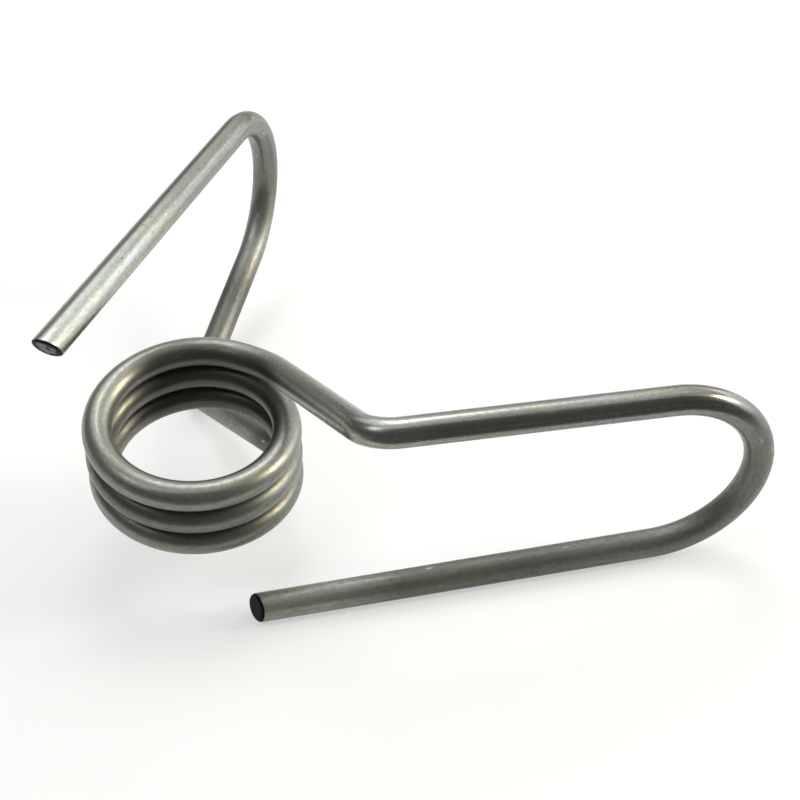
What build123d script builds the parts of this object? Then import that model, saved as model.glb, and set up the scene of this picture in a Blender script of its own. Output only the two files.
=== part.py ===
from build123d import *
from math import atan2, cos, radians, sin
import os

# A fence rod clip: one length of round spring wire, wound into a short coil that grips a rod.
# At each end of the coil the wire climbs out, kicks to the same side and turns back in a hairpin.
# Lengths are in millimetres and angles in degrees.

# Wire and coil
wire_diameter = 1.8
coil_bore = 9.7             # a little under the 10 mm rod that it grips
turn_gap = 0.1              # air between one turn and the next
coil_angle = 1010.0         # the close-wound part, which the two lifts round up to three turns

# Lift: where the wire climbs out of the coil, still turning, on its way to the leg
lift_radius = 6.0
lift_angle = 40.0
lift_tilt_angle = 28.5

# Both legs: a straight lead, the kick, a straight arm, the hairpin and a straight tail
lead_length = 10.0
kick_inner_radius = 1.5
hairpin_inner_radius = 5.3
hairpin_roll_angle = -90.0  # straight back along the coil's axis

# Upper leg
upper_kick_angle = 71.4
upper_kick_roll_angle = -8.4    # from square to the coil's axis, back towards the coil
upper_arm = 15.9
upper_hairpin_angle = 177.0
upper_tail = 24.8
upper_shear_angle = 23.0        # how far the sheared face leans from square across the wire
upper_shear_roll_angle = 37.0   # which way it leans, from level towards the coil's outward side

# Lower leg, whose hairpin is left more open
lower_kick_angle = 63.7
lower_kick_roll_angle = -32.4
lower_arm = 10.0
lower_hairpin_angle = 154.5
lower_tail = 28.0
lower_shear_angle = 33.0
lower_shear_roll_angle = 88.0

# Both sheared ends
end_rounding = 0.2

# Sizes that follow
wire_radius = wire_diameter / 2
coil_radius = coil_bore / 2 + wire_radius
coil_pitch = wire_diameter + turn_gap
coil_height = coil_pitch * coil_angle / 360
kick_radius = kick_inner_radius + wire_radius
hairpin_radius = hairpin_inner_radius + wire_radius
offcut = 2 * wire_diameter

UP = Vector(0, 0, 1)
DOWN = Vector(0, 0, -1)
RESTING_SAMPLES = 500


def across(heading, outward, roll):
    """Direction square to the wire, turned by roll from level towards the outward side of the coil."""
    level = outward.cross(heading).normalized()
    return level * cos(radians(roll)) + heading.cross(level) * sin(radians(roll))


def straight(start, heading, length):
    """Straight wire from start; returns its far end and heading."""
    end = start + heading * length
    Line(start, end)
    return end, heading


def bend(start, heading, towards, radius, angle):
    """Wire bent round a pin on the side that towards points to; returns its far end and heading."""
    pin = Axis(start + towards * radius, heading.cross(towards))
    end = pin.position - towards.rotate(pin, angle) * radius
    TangentArc(start, end, tangent=heading)
    return end, heading.rotate(pin, angle)


def lift(start, heading, outward):
    """Wire that goes on turning about the coil while it climbs out of it."""
    to_axis = Vector(-start.X, -start.Y, 0)
    inward = (to_axis - heading * to_axis.dot(heading)).normalized()
    climb = heading.cross(inward)
    if climb.dot(outward) < 0:
        climb = -climb
    towards = inward * cos(radians(lift_tilt_angle)) + climb * sin(radians(lift_tilt_angle))
    return bend(start, heading, towards, lift_radius, lift_angle)


def leg(start, heading, outward, kick_angle, kick_roll, arm, hairpin_angle, tail, shear_angle, shear_roll):
    """One end of the wire, with spare length to shear off; returns where its tail starts and its face."""
    place = lift(start, heading, outward)
    place = straight(*place, lead_length)
    place = bend(*place, across(place[1], outward, kick_roll), kick_radius, kick_angle)
    place = straight(*place, arm)
    place = bend(*place, across(place[1], outward, hairpin_roll_angle), hairpin_radius, hairpin_angle)
    tail_start, heading = place
    straight(*place, tail + wire_radius)
    lean = across(heading, outward, shear_roll)
    facing = heading * cos(radians(shear_angle)) + lean * sin(radians(shear_angle))
    return tail_start, Plane(origin=tail_start + heading * tail, z_dir=facing)


def resting_plane(line, tail_start, tip):
    """The plane along the tail that the rest of the wire comes down on, facing up."""
    along = (tail_start - tip).normalized()
    beside = UP.cross(along).normalized()
    above = along.cross(beside)
    samples = [line @ (step / RESTING_SAMPLES) - tip for step in range(RESTING_SAMPLES + 1)]
    reach = [(point.dot(beside), point.dot(above)) for point in samples]
    lean = min(atan2(height, distance) for distance, height in reach if distance > coil_radius)
    return Plane(origin=tip, x_dir=along, z_dir=above * cos(lean) - beside * sin(lean))


with BuildPart() as rod_clip:
    with BuildLine() as route:
        coil = Helix(coil_pitch, coil_height, coil_radius, lefthand=True)
        tail_start, upper_face = leg(
            coil @ 1, coil % 1, UP,
            upper_kick_angle, upper_kick_roll_angle, upper_arm, upper_hairpin_angle, upper_tail,
            upper_shear_angle, upper_shear_roll_angle,
        )
        _, lower_face = leg(
            coil @ 0, -(coil % 0), DOWN,
            lower_kick_angle, lower_kick_roll_angle, lower_arm, lower_hairpin_angle, lower_tail,
            lower_shear_angle, lower_shear_roll_angle,
        )
    wire_line = route.wire()
    with BuildSketch(Plane(origin=wire_line @ 1, z_dir=wire_line % 1)):
        Circle(wire_radius)
    sweep(path=wire_line)
    with Locations(upper_face, lower_face):
        Box(offcut, offcut, offcut, align=(Align.CENTER, Align.CENTER, Align.MIN), mode=Mode.SUBTRACT)
    fillet(rod_clip.faces().filter_by(GeomType.PLANE).edges(), end_rounding)

# The clip is laid down as it comes to rest, on the tail of its upper leg and the kick of its lower one
laid_down = resting_plane(wire_line, tail_start, upper_face.origin).to_local_coords(rod_clip.part)
box = laid_down.bounding_box()
clip = laid_down.moved(Location((-box.center().X, -box.center().Y, -box.min.Z)))
clip.label = "rod_clip"

os.makedirs("parts", exist_ok=True)
export_step(clip, "parts/rod_clip.step")
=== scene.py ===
from math import atan2, ceil, cos, pi, radians, sin, tan

import bpy
from mathutils import Matrix, Quaternion, Vector


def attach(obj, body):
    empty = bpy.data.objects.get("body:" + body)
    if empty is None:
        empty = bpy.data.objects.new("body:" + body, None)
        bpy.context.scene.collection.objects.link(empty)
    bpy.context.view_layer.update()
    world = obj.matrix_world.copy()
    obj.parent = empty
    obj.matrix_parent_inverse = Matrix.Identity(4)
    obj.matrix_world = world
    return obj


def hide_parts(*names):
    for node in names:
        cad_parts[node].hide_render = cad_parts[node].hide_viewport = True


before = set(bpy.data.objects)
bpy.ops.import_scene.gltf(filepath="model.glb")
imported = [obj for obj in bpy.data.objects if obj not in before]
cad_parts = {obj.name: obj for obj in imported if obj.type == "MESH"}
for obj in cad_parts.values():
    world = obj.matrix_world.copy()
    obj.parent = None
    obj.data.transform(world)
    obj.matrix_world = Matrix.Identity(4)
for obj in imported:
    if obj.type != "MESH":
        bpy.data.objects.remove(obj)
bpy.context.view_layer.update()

# A fence rod clip of bent spring wire, laid down as it comes to rest.
# Lengths are in metres and angles in degrees. The wire's route repeats the one in the part's source.
MM = 0.001

# Wire and coil
wire_diameter = 1.8 * MM
coil_bore = 9.7 * MM
turn_gap = 0.1 * MM
coil_angle = 1010.0

# Lift out of the coil
lift_radius = 6.0 * MM
lift_angle = 40.0
lift_tilt_angle = 28.5

# Both legs
lead_length = 10.0 * MM
kick_inner_radius = 1.5 * MM
hairpin_inner_radius = 5.3 * MM
hairpin_roll_angle = -90.0

# Upper leg
upper_kick_angle = 71.4
upper_kick_roll_angle = -8.4
upper_arm = 15.9 * MM
upper_hairpin_angle = 177.0
upper_tail = 24.8 * MM
upper_shear_angle = 23.0
upper_shear_roll_angle = 37.0

# Lower leg
lower_kick_angle = 63.7
lower_kick_roll_angle = -32.4
lower_arm = 10.0 * MM
lower_hairpin_angle = 154.5
lower_tail = 28.0 * MM
lower_shear_angle = 33.0
lower_shear_roll_angle = 88.0

# Sheared ends
end_rounding = 0.2 * MM

# Sizes that follow
wire_radius = wire_diameter / 2
coil_radius = coil_bore / 2 + wire_radius
coil_pitch = wire_diameter + turn_gap
coil_height = coil_pitch * coil_angle / 360
kick_radius = kick_inner_radius + wire_radius
hairpin_radius = hairpin_inner_radius + wire_radius

# Mesh
SIDES = 56
BEND_STEP = 0.16 * MM
STRAIGHT_STEP = 0.6 * MM
RIM_RINGS = 6
FACE_RINGS = 5
END_CLEAR = 0.65 * wire_diameter    # no rings this near to the sheared ends but the ends' own
GAP_FADE = 3 * MM                   # wire along which the painted shade in the coil's gaps fades out at its ends
UP = Vector((0, 0, 1))
DOWN = Vector((0, 0, -1))


def across(heading, outward, roll):
    """Direction square to the wire, turned by roll from level towards the outward side of the coil."""
    level = outward.cross(heading).normalized()
    return level * cos(radians(roll)) + heading.cross(level) * sin(radians(roll))


def straight(points, heading, length):
    """Adds straight wire to points; returns its heading."""
    start = points[-1]
    steps = ceil(length / STRAIGHT_STEP)
    points += [start + heading * (length * step / steps) for step in range(1, steps + 1)]
    return heading


def bend(points, heading, towards, radius, angle):
    """Adds wire bent round a pin on the side that towards points to; returns its far heading."""
    pin = points[-1] + towards * radius
    axis = heading.cross(towards)
    steps = ceil(radians(angle) * radius / BEND_STEP)
    for step in range(1, steps + 1):
        turn = Quaternion(axis, radians(angle * step / steps))
        points.append(pin - (turn @ towards) * radius)
    return Quaternion(axis, radians(angle)) @ heading


def lift(points, heading, outward):
    """Adds wire that goes on turning about the coil while it climbs out of it."""
    to_axis = Vector((-points[-1].x, -points[-1].y, 0))
    inward = (to_axis - heading * to_axis.dot(heading)).normalized()
    climb = heading.cross(inward)
    if climb.dot(outward) < 0:
        climb = -climb
    towards = inward * cos(radians(lift_tilt_angle)) + climb * sin(radians(lift_tilt_angle))
    return bend(points, heading, towards, lift_radius, lift_angle)


def leg(start, heading, outward, kick_angle, kick_roll, arm, hairpin_angle, tail, shear_roll):
    """Points of one end of the wire up to its tip, where its tail starts, and which way its face leans."""
    points = [start]
    heading = lift(points, heading, outward)
    heading = straight(points, heading, lead_length)
    heading = bend(points, heading, across(heading, outward, kick_roll), kick_radius, kick_angle)
    heading = straight(points, heading, arm)
    back = across(heading, outward, hairpin_roll_angle)
    heading = bend(points, heading, back, hairpin_radius, hairpin_angle)
    tail_start = points[-1]
    straight(points, heading, tail)
    return points, tail_start, across(heading, outward, shear_roll)


def coil_point(angle):
    """Point of the coil, which is left-handed: seen from above, it turns clockwise as it rises."""
    turn = radians(-angle)
    return Vector((coil_radius * cos(turn), coil_radius * sin(turn), coil_pitch * angle / 360))


def coil_heading(angle):
    """Which way the wire runs up the coil there."""
    turn = radians(-angle)
    return Vector((sin(turn), -cos(turn), coil_pitch / (2 * pi * coil_radius))).normalized()


def wire_route():
    """The wire at rest: its points from the lower tip to the upper one, which way its two faces lean,
    and its coil's middle, axis, and first and last point."""
    upper, tail_start, upper_lean = leg(
        coil_point(coil_angle), coil_heading(coil_angle), UP,
        upper_kick_angle, upper_kick_roll_angle, upper_arm, upper_hairpin_angle, upper_tail,
        upper_shear_roll_angle,
    )
    lower, _, lower_lean = leg(
        coil_point(0), -coil_heading(0), DOWN,
        lower_kick_angle, lower_kick_roll_angle, lower_arm, lower_hairpin_angle, lower_tail,
        lower_shear_roll_angle,
    )
    turns = ceil(radians(coil_angle) * coil_radius / BEND_STEP)
    coil = [coil_point(coil_angle * step / turns) for step in range(1, turns)]
    route = lower[::-1] + coil + upper

    # Down on the upper tail and the kick of the lower leg
    tip = upper[-1]
    along = (tail_start - tip).normalized()
    beside = UP.cross(along).normalized()
    above = along.cross(beside)
    reach = [((point - tip).dot(beside), (point - tip).dot(above)) for point in route]
    lean = min(atan2(height, distance) for distance, height in reach if distance > coil_radius)
    upward = above * cos(lean) - beside * sin(lean)
    turned = Matrix((along, upward.cross(along), upward))

    points = [turned @ point for point in route]
    face_leans = (turned @ lower_lean, turned @ upper_lean)
    coil_middle = turned @ Vector((0, 0, coil_height / 2))
    coil_ends = (len(lower) - 1, len(lower) + len(coil))
    return points, face_leans, coil_middle, turned @ UP, coil_ends


def headings_of(route):
    """Which way the wire runs at each point."""
    headings = [route[1] - route[0]]
    headings += [route[i + 1] - route[i - 1] for i in range(1, len(route) - 1)]
    headings.append(route[-1] - route[-2])
    return [heading.normalized() for heading in headings]


def carried_sides(headings):
    """One direction square to the wire at each point, carried along without twist."""
    side = headings[0].orthogonal().normalized()
    sides = []
    for heading in headings:
        side = (side - heading * side.dot(heading)).normalized()
        sides.append(side)
    return sides


def end_profile():
    """Radius and setback of the rings of a sheared end, from the wire's side to the face's middle."""
    profile = []
    for ring in range(RIM_RINGS + 1):
        turn = pi / 2 * ring / RIM_RINGS
        radius = wire_radius - end_rounding * (1 - cos(turn))
        profile.append((radius, end_rounding * (1 - sin(turn))))
    rim = wire_radius - end_rounding
    profile += [(rim * (1 - ring / FACE_RINGS), 0.0) for ring in range(1, FACE_RINGS)]
    return profile


def mesh_rings(travelled, lower_lean, upper_lean):
    """Each ring's point of the route, radius, how far it stands forth along the wire, and its slope."""
    profile = end_profile()
    last = len(travelled) - 1
    lower_slope = -lower_lean * tan(radians(lower_shear_angle))
    upper_slope = upper_lean * tan(radians(upper_shear_angle))
    square = Vector((0, 0, 0))
    rings = [(0, radius, setback, lower_slope) for radius, setback in reversed(profile)]
    for i in range(1, last):
        if END_CLEAR < travelled[i] < travelled[last] - END_CLEAR:
            rings.append((i, wire_radius, 0.0, square))
    rings += [(last, radius, -setback, upper_slope) for radius, setback in profile]
    return rings


def ring_faces(ring_count):
    """Faces between neighbouring rings, and fans round the two middle points that come after the rings."""
    faces = []
    for ring in range(ring_count - 1):
        for step in range(SIDES):
            a = ring * SIDES + step
            b = ring * SIDES + (step + 1) % SIDES
            faces.append((a, b, b + SIDES, a + SIDES))
    top = (ring_count - 1) * SIDES
    lower_middle = ring_count * SIDES
    for step in range(SIDES):
        following = (step + 1) % SIDES
        faces.append((following, step, lower_middle))
        faces.append((top + step, top + following, lower_middle + 1))
    return faces


def gap_share(distance, start, end, side):
    """How fully another turn of the coil lies on that side of the wire, from 0, not at all, to 1.

    Distances run along the wire, and side is above 0 towards the coil's upper end.
    """
    turn_length = (end - start) * 360 / coil_angle
    past_coil = max(start - distance, distance - end, 0)
    other_turn = end - turn_length - distance if side > 0 else distance - turn_length - start
    return max(0, 1 - past_coil / GAP_FADE) * min(max(1 + other_turn / GAP_FADE, 0), 1)


def wire_mesh(route, face_leans, coil_axis, coil_ends):
    """The wire's mesh. For the material it keeps each point's place along and across the wire in
    millimetres, and how far it lies in a gap of the coil, which the material darkens as painted shade."""
    headings = headings_of(route)
    sides = carried_sides(headings)
    travelled = [0.0]
    for before, after in zip(route, route[1:]):
        travelled.append(travelled[-1] + (after - before).length)
    coil_start, coil_end = [travelled[i] for i in coil_ends]

    rings = mesh_rings(travelled, *face_leans)
    vertices = []
    places = []
    gaps = []
    for i, radius, forth, slope in rings:
        second = headings[i].cross(sides[i])
        for step in range(SIDES):
            turn = 2 * pi * step / SIDES
            offset = (sides[i] * cos(turn) + second * sin(turn)) * radius
            along = forth - offset.dot(slope)
            vertices.append(route[i] + offset + headings[i] * along)
            places.append((travelled[i] + along, cos(turn) * radius, sin(turn) * radius))
            side = offset.dot(coil_axis) / wire_radius
            # How far the point lies in a gap between turns, for the painted shade there
            gaps.append(abs(side) * gap_share(travelled[i], coil_start, coil_end, side))
    vertices += [route[0], route[-1]]
    places += [(0.0, 0.0, 0.0), (travelled[-1], 0.0, 0.0)]
    gaps += [0.0, 0.0]

    mesh = bpy.data.meshes.new("wire")
    mesh.from_pydata(vertices, [], ring_faces(len(rings)))
    mesh.shade_smooth()
    place = mesh.attributes.new("wire_place", "FLOAT_VECTOR", "POINT")
    for item, value in zip(place.data, places):
        item.vector = Vector(value) / MM
    gap = mesh.attributes.new("coil_gap_shade", "FLOAT", "POINT")
    gap.data.foreach_set("value", gaps)
    return mesh


def shade(tree, kind, inputs, **settings):
    """A shader node whose inputs each take a value, or the output that feeds them."""
    made = tree.nodes.new(kind)
    for name, value in settings.items():
        setattr(made, name, value)
    for socket, value in inputs.items():
        if isinstance(value, bpy.types.NodeSocket):
            tree.links.new(value, made.inputs[socket])
        else:
            made.inputs[socket].default_value = value
    return made


def calculated(tree, operation, first, second):
    """Two numbers put together by the operation."""
    return shade(tree, "ShaderNodeMath", {0: first, 1: second}, operation=operation).outputs[0]


def vector_calculated(tree, operation, first, second):
    """Two places or colours put together by the operation, each part by itself."""
    return shade(tree, "ShaderNodeVectorMath", {0: first, 1: second}, operation=operation).outputs[0]


def length_across(tree, first, second):
    """How far a place is from an axis, by its two coordinates square to that axis."""
    square = shade(tree, "ShaderNodeCombineXYZ", {0: first, 1: second}).outputs[0]
    return shade(tree, "ShaderNodeVectorMath", {0: square}, operation="LENGTH").outputs["Value"]


def rescaled(tree, value, low, high, new_low, new_high):
    """The value carried smoothly from one range to another, and held at its ends."""
    inputs = {"Value": value, "From Min": low, "From Max": high, "To Min": new_low, "To Max": new_high}
    return shade(tree, "ShaderNodeMapRange", inputs, interpolation_type="SMOOTHSTEP").outputs[0]


def noise(tree, place, factors, scale, detail, roughness=0.55):
    """Noise on the wire, finer along or across it where a factor is above 1, and coarser below 1."""
    inputs = {
        "Vector": vector_calculated(tree, "MULTIPLY", place, factors),
        "Scale": scale,
        "Detail": detail,
        "Roughness": roughness,
    }
    return shade(tree, "ShaderNodeTexNoise", inputs).outputs[0]


def dots(tree, place, factors, scale, inner, outer):
    """Scattered dots on the wire: 1 nearer to a dot's middle than inner, and 0 beyond outer."""
    inputs = {"Vector": vector_calculated(tree, "MULTIPLY", place, factors), "Scale": scale}
    cells = shade(tree, "ShaderNodeTexVoronoi", inputs)
    return rescaled(tree, cells.outputs["Distance"], inner, outer, 1.0, 0.0)


def ramp(tree, value, stops):
    """A colour or level that runs through stops, each a place between 0 and 1 and what it is there."""
    made = shade(tree, "ShaderNodeValToRGB", {0: value})
    elements = made.color_ramp.elements
    while len(elements) < len(stops):
        elements.new(0.5)
    for element, (position, colour) in zip(elements, stops):
        element.position = position
        element.color = (*colour, 1) if isinstance(colour, tuple) else (colour, colour, colour, 1)
    return made.outputs[0]


def blend(tree, share, first, second):
    """Between two colours, by the second one's share. Sockets 6, 7 and 2 are the node's colour ones."""
    inputs = {0: share, 6: first, 7: second}
    return shade(tree, "ShaderNodeMix", inputs, data_type="RGBA").outputs[2]


# How the wire changes along its length: each stop is a share of it from the lower tip, and a level
WIRE_LENGTH = 250 * MM

# How light the steel is: partly its own tone, partly painted highlights and painted shade
LIGHTNESS_WITH_PAINTED_LIGHT = (
    (0.02, 0.405),      # lower tail, lighter by a painted sheen
    (0.05, 0.330),
    (0.08, 0.240),
    (0.105, 0.240),
    (0.13, 0.180),      # lower hairpin
    (0.155, 0.180),
    # painted highlight on the lower hairpin, near its arm
    (0.17, 0.340),
    (0.19, 0.125),      # lower arm
    (0.215, 0.220),
    (0.25, 0.270),      # lower lead
    (0.31, 0.180),      # coil, lighter and darker round its turns by painted light and shade
    (0.36, 0.290),
    (0.40, 0.170),
    (0.44, 0.240),
    (0.48, 0.150),
    (0.53, 0.280),
    (0.61, 0.230),
    (0.68, 0.320),
    (0.72, 0.265),      # upper lead
    # painted highlight at the upper lead's end, by its kick
    (0.745, 0.350),
    (0.77, 0.230),      # upper arm
    (0.82, 0.240),
    (0.86, 0.130),      # upper hairpin
    (0.89, 0.170),
    (0.94, 0.131),      # upper tail
    (0.965, 0.138),
    # painted highlight near the upper tip
    (0.985, 0.270),
)

# How matt it is
ROUGHNESS = (
    (0.11, 0.34),       # lower tail
    (0.155, 0.34),      # lower hairpin
    (0.19, 0.52),       # lower arm
    (0.23, 0.48),       # lower lead
    (0.30, 0.39),       # coil
    (0.70, 0.39),
    (0.75, 0.28),       # upper arm, the smoothest
    (0.78, 0.27),
    (0.80, 0.29),
    (0.835, 0.23),      # upper hairpin
    (0.85, 0.30),
    (0.88, 0.42),
    (0.92, 0.56),       # upper tail, the most matt
    (0.96, 0.56),
    (0.985, 0.44),
)

# How metallic it looks
POLISH = (
    (0.11, 1.00),       # lower tail
    (0.15, 0.80),
    (0.19, 0.70),       # lower arm
    (0.28, 0.80),       # coil
    (0.72, 0.80),
    (0.77, 0.97),       # upper arm
    (0.83, 0.97),
    (0.87, 0.60),       # upper hairpin and tail
)

# Where pits and nicks lie, most of them on the legs
HANDLED = (
    (0.26, 1.0),
    (0.32, 0.2),
    (0.68, 0.2),
    (0.80, 0.7),
)

# Colours of the wire
STEEL_TINT = (0.99, 1.045, 0.955)
WARM_TINT = (1.12, 1.02, 0.86)
PIT = (0.07, 0.068, 0.06, 1)
NICK = (0.55, 0.55, 0.52, 1)
# Painted shade inside the coil and under the tail that passes over it
INNER_PAINTED_SHADE = (0.060, 0.052, 0.042, 1)
# Painted shade in the gaps between the coil's turns
GAP_PAINTED_SHADE = (0.045, 0.042, 0.036, 1)
LOWER_FACE = (
    (0.40, (0.010, 0.010, 0.012)),
    (0.54, (0.20, 0.20, 0.20)),
)
# Near black: a painted dark reflection of the shaded side the upper face turns to
UPPER_FACE = (0.003, 0.003, 0.010, 1)

# The sheared faces' look, which fades out at the rim, by millimetres from the wire's middle
FACE_INNER = wire_radius / MM - 0.04
FACE_OUTER = wire_radius / MM - 0.002
FACE_ROUGHNESS = 0.6

# How deep the marks, grain and pits are
RELIEF_DEPTH = 0.006 * MM

# Painted shade in the coil: where it fades out from the coil's axis, comes in along X, and fades out
# upwards
INNER_SHADE_SHARE = 0.75
INNER_SHADE_OUTWARDS = (coil_radius - 0.7 * MM, coil_radius + 0.1 * MM)
INNER_SHADE_STARTS = (-4.0 * MM, -1.5 * MM)
INNER_SHADE_TOP = (4.0 * MM, 5.5 * MM)


def inner_shade_share(tree, coil_middle):
    """How much painted shade lies there: inside the coil, towards +X, and below the tail that passes over
    it.
    """
    place = shade(tree, "ShaderNodeTexCoord", {}).outputs["Object"]
    place = vector_calculated(tree, "SUBTRACT", place, coil_middle)
    x, y, z = shade(tree, "ShaderNodeSeparateXYZ", {0: place}).outputs
    from_axis = length_across(tree, x, y)
    inner = rescaled(tree, from_axis, *INNER_SHADE_OUTWARDS, INNER_SHADE_SHARE, 0.0)
    right = rescaled(tree, x, *INNER_SHADE_STARTS, 0.0, 1.0)
    below = rescaled(tree, z, *INNER_SHADE_TOP, 1.0, 0.0)
    return calculated(tree, "MULTIPLY", calculated(tree, "MULTIPLY", inner, right), below)


def sheared_colour(tree, place, along, radius):
    """The lower end's face is torn bright in its middle, and the upper one's is dark all over, a painted
    dark reflection.
    """
    torn = noise(tree, place, (1.0, 1.0, 1.0), 1.6, 2.0)
    torn = calculated(tree, "SUBTRACT", torn, rescaled(tree, radius, 0.45, 0.70, 0.0, 0.3))
    is_upper = rescaled(tree, along, 0.4, 0.6, 0.0, 1.0)
    return blend(tree, is_upper, ramp(tree, torn, LOWER_FACE), UPPER_FACE)


def drawn_wire(coil_middle):
    """Satin drawn wire with lengthwise marks, grain, pits and nicks, and dark sheared faces, with painted
    highlights and shade.
    """
    material = bpy.data.materials.new("drawn_wire")
    material.use_nodes = True
    tree = material.node_tree
    place = shade(tree, "ShaderNodeAttribute", {}, attribute_name="wire_place").outputs["Vector"]
    distance, first, second = shade(tree, "ShaderNodeSeparateXYZ", {0: place}).outputs
    along = calculated(tree, "MULTIPLY", distance, MM / WIRE_LENGTH)
    radius = length_across(tree, first, second)
    face = rescaled(tree, radius, FACE_INNER, FACE_OUTER, 1.0, 0.0)

    # Marks of the die, blotches along the wire, and grain
    marks = noise(tree, place, (0.16, 4.5, 4.5), 1.0, 5.0, 0.6)
    blotches = noise(tree, place, (0.22, 0.8, 0.8), 1.0, 3.0, 0.5)
    grain = noise(tree, place, (0.7, 1.0, 1.0), 4.2, 4.0, 0.65)
    texture = calculated(tree, "ADD", marks, grain)

    # Pits, in patches, and bright nicks
    handled = ramp(tree, along, HANDLED)
    patches = rescaled(tree, noise(tree, place, (0.3, 0.5, 0.5), 1.3, 2.0), 0.50, 0.62, 0.0, 1.0)
    patches = calculated(tree, "MULTIPLY", patches, handled)
    pits = calculated(tree, "MULTIPLY", dots(tree, place, (0.7, 1.0, 1.0), 2.6, 0.10, 0.24), patches)
    nicks = calculated(tree, "MULTIPLY", dots(tree, place, (0.35, 1.0, 1.0), 1.1, 0.05, 0.13), handled)

    # Steel, with painted highlights and shade in its lightness, warmer in the blotches
    lightness_with_painted_light = ramp(tree, along, LIGHTNESS_WITH_PAINTED_LIGHT)
    lightness_with_painted_light = calculated(tree, "MULTIPLY", lightness_with_painted_light, rescaled(tree, texture, 0.64, 1.36, 0.80, 1.20))
    tint = {0: STEEL_TINT, "Scale": lightness_with_painted_light}
    steel = shade(tree, "ShaderNodeVectorMath", tint, operation="SCALE").outputs[0]
    warm = vector_calculated(tree, "MULTIPLY", steel, WARM_TINT)
    colour = blend(tree, rescaled(tree, blotches, 0.42, 0.62, 0.0, 0.5), steel, warm)

    # Dirt in the pits, and painted shade inside the coil and in the gaps between its turns
    colour = blend(tree, calculated(tree, "MULTIPLY", pits, 0.6), colour, PIT)
    # Painted shade inside the coil and under the tail
    colour = blend(tree, inner_shade_share(tree, coil_middle), colour, INNER_PAINTED_SHADE)
    gap = shade(tree, "ShaderNodeAttribute", {}, attribute_name="coil_gap_shade").outputs["Fac"]
    # Painted shade in the gaps between the coil's turns, where the turns shade each other
    colour = blend(tree, rescaled(tree, gap, 0.45, 1.0, 0.0, 0.50), colour, GAP_PAINTED_SHADE)
    colour = blend(tree, calculated(tree, "MULTIPLY", nicks, 0.6), colour, NICK)
    colour = blend(tree, face, colour, sheared_colour(tree, place, along, radius))

    # Smoother on the ridges of the marks and grain
    uneven = rescaled(tree, texture, 0.7, 1.3, 0.05, -0.05)
    roughness = calculated(tree, "ADD", ramp(tree, along, ROUGHNESS), uneven)
    roughness = calculated(tree, "MAXIMUM", roughness, calculated(tree, "MULTIPLY", face, FACE_ROUGHNESS))
    metallic = calculated(tree, "MAXIMUM", ramp(tree, along, POLISH), face)
    relief = calculated(tree, "MULTIPLY", texture, 0.8)
    relief = calculated(tree, "SUBTRACT", relief, calculated(tree, "MULTIPLY", pits, 1.2))
    bump = shade(tree, "ShaderNodeBump", {"Height": relief, "Strength": 1.0, "Distance": RELIEF_DEPTH})

    shader = tree.nodes["Principled BSDF"]
    tree.links.new(colour, shader.inputs["Base Color"])
    tree.links.new(roughness, shader.inputs["Roughness"])
    tree.links.new(metallic, shader.inputs["Metallic"])
    tree.links.new(bump.outputs[0], shader.inputs["Normal"])
    return material


# Floor, half of whose look to the camera and in reflections is plain white
FLOOR_HALF = 3.0
FLOOR_COLOUR = (0.92, 0.92, 0.92, 1)
FLOOR_WHITENESS = 0.5

# A dark card just outside the picture's lower edge, where only reflections show it: painted shade in the
# reflections
CARD_HALF_WIDTH = 300 * MM
CARD_FRONT = -400 * MM
CARD_BACK = -32 * MM
CARD_HEIGHT = 0.1 * MM
SHADE_CARD_COLOUR = (0.12, 0.12, 0.13, 1)

# Light
LIT_PLACE = Vector((0, 0, 10 * MM))
LAMP_DISTANCE = 400 * MM
ROOM_LIGHT = 0.13

# Camera, where the photograph was taken from
CAMERA_PLACE = Vector((-12.82, -81.95, 73.66)) * MM
CAMERA_AZIMUTH = 8.884
CAMERA_ELEVATION = 40.172
CAMERA_ROLL = -2.729
CAMERA_LENS = 71.63
CAMERA_SHIFT = (0.025, -0.0325)


def matt(name, colour):
    """A material of one colour without gloss, for what isn't part of the clip."""
    material = bpy.data.materials.new(name)
    material.use_nodes = True
    shader = material.node_tree.nodes["Principled BSDF"]
    shader.inputs["Base Color"].default_value = colour
    shader.inputs["Roughness"].default_value = 0.9
    shader.inputs["Specular IOR Level"].default_value = 0.0
    return material


def pale_floor():
    """Pale and matt, but part plain white to the camera and in reflections, so that its shadow is soft."""
    material = matt("pale_floor", FLOOR_COLOUR)
    tree = material.node_tree
    white = shade(tree, "ShaderNodeEmission", {"Strength": 1.0})
    path = shade(tree, "ShaderNodeLightPath", {}).outputs
    seen = calculated(tree, "MAXIMUM", path["Is Camera Ray"], path["Is Glossy Ray"])
    seen = calculated(tree, "MAXIMUM", seen, path["Is Transmission Ray"])
    part_white = shade(tree, "ShaderNodeMixShader", {
        0: calculated(tree, "MULTIPLY", seen, FLOOR_WHITENESS),
        1: tree.nodes["Principled BSDF"].outputs[0],
        2: white.outputs[0],
    })
    tree.links.new(part_white.outputs[0], tree.nodes["Material Output"].inputs["Surface"])
    return material


def level_plane(name, half_width, front, back, height, material):
    """A level plane from front to back along Y."""
    mesh = bpy.data.meshes.new(name)
    corners = [
        (-half_width, front, height),
        (half_width, front, height),
        (half_width, back, height),
        (-half_width, back, height),
    ]
    mesh.from_pydata(corners, [], [(0, 1, 2, 3)])
    mesh.materials.append(material)
    plane = bpy.data.objects.new(name, mesh)
    bpy.context.scene.collection.objects.link(plane)
    return plane


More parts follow.
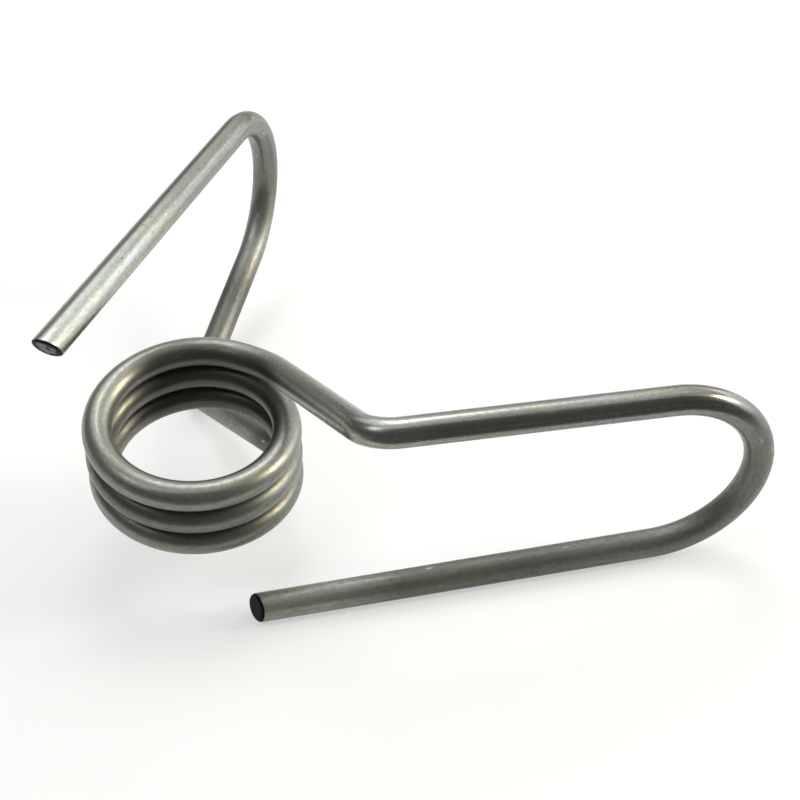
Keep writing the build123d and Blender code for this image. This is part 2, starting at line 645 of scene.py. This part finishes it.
def soft_lamp(name, azimuth, elevation, width, height, radiance, colour=(1, 1, 1), distance=LAMP_DISTANCE):
    """A lamp that faces the clip; its azimuth turns from +Y towards +X."""
    lamp = bpy.data.lights.new(name, "AREA")
    lamp.shape = "RECTANGLE"
    lamp.size = width
    lamp.size_y = height
    lamp.energy = pi * width * height * radiance
    lamp.color = colour
    level = cos(radians(elevation))
    away = Vector((
        sin(radians(azimuth)) * level,
        cos(radians(azimuth)) * level,
        sin(radians(elevation)),
    ))
    holder = bpy.data.objects.new(name, lamp)
    bpy.context.scene.collection.objects.link(holder)
    holder.location = away * distance + LIT_PLACE
    holder.rotation_euler = away.to_track_quat("Z", "Y").to_euler()
    holder.visible_camera = False


# Clip
route, face_leans, coil_middle, coil_axis, coil_ends = wire_route()
clip_mesh = wire_mesh(route, face_leans, coil_axis, coil_ends)
clip = bpy.data.objects.new("bent_wire", clip_mesh)
bpy.context.scene.collection.objects.link(clip)
lowest = [min(vertex.co[axis] for vertex in clip_mesh.vertices) for axis in range(3)]
highest = [max(vertex.co[axis] for vertex in clip_mesh.vertices) for axis in range(3)]
to_floor = Vector((-(lowest[0] + highest[0]) / 2, -(lowest[1] + highest[1]) / 2, -lowest[2]))
clip_mesh.transform(Matrix.Translation(to_floor))
clip_mesh.materials.append(drawn_wire(coil_middle + to_floor))
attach(clip, "root")
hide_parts("rod_clip")

# Floor, and a dark card that puts painted shade into reflections
floor = level_plane("floor", FLOOR_HALF, -FLOOR_HALF, FLOOR_HALF, 0, pale_floor())
painted_shade_card = matt("painted_shade_card", SHADE_CARD_COLOUR)
card = level_plane("painted_shade_card", CARD_HALF_WIDTH, CARD_FRONT, CARD_BACK, CARD_HEIGHT, painted_shade_card)
card.visible_camera = False
card.visible_diffuse = False
card.visible_shadow = False

# Lamps: azimuth, elevation, width, height, radiance, and colour where it isn't white
soft_lamp("overhead", 0, 88, 0.30, 0.30, 1.05)
soft_lamp("high_back_left", -12, 52, 0.28, 0.26, 1.40)
soft_lamp("high_back", 12, 57, 0.15, 0.17, 4.20)
soft_lamp("high_back_right", 49, 52, 0.28, 0.26, 1.10)
soft_lamp("high_right", 95, 52, 0.24, 0.24, 0.70)
soft_lamp("low_back", 22, 24, 0.32, 0.20, 1.00)
soft_lamp("low_right", 58, 22, 0.16, 0.12, 2.20, (1.00, 0.96, 0.90))
soft_lamp("warm_right", 97, 24, 0.08, 0.12, 29.0, (1.00, 0.88, 0.66))
soft_lamp("window_right", 82, 11, 0.26, 0.10, 2.10, (0.82, 0.90, 1.00), distance=220 * MM)
soft_lamp("high_left", -105, 57, 0.14, 0.14, 3.50)

# Plain white light from all round
world = bpy.data.worlds.new("studio")
bpy.context.scene.world = world
world.use_nodes = True
background = world.node_tree.nodes["Background"]
background.inputs["Color"].default_value = (1, 1, 1, 1)
background.inputs["Strength"].default_value = ROOM_LIGHT

# Camera
forward = Vector((
    sin(radians(CAMERA_AZIMUTH)) * cos(radians(CAMERA_ELEVATION)),
    cos(radians(CAMERA_AZIMUTH)) * cos(radians(CAMERA_ELEVATION)),
    -sin(radians(CAMERA_ELEVATION)),
))
level_right = forward.cross(UP).normalized()
level_up = level_right.cross(forward)
right = level_right * cos(radians(CAMERA_ROLL)) + level_up * sin(radians(CAMERA_ROLL))
up = right.cross(forward)
camera_data = bpy.data.cameras.new("camera")
camera_data.sensor_width = 36
camera_data.lens = CAMERA_LENS
camera_data.shift_x, camera_data.shift_y = CAMERA_SHIFT
camera_data.clip_start = 5 * MM
camera_data.clip_end = 10
camera = bpy.data.objects.new("camera", camera_data)
bpy.context.scene.collection.objects.link(camera)
camera.matrix_world = Matrix((
    (right.x, up.x, -forward.x, CAMERA_PLACE.x),
    (right.y, up.y, -forward.y, CAMERA_PLACE.y),
    (right.z, up.z, -forward.z, CAMERA_PLACE.z),
    (0, 0, 0, 1),
))
bpy.context.scene.camera = camera
bpy.context.scene.view_settings.view_transform = "Standard"
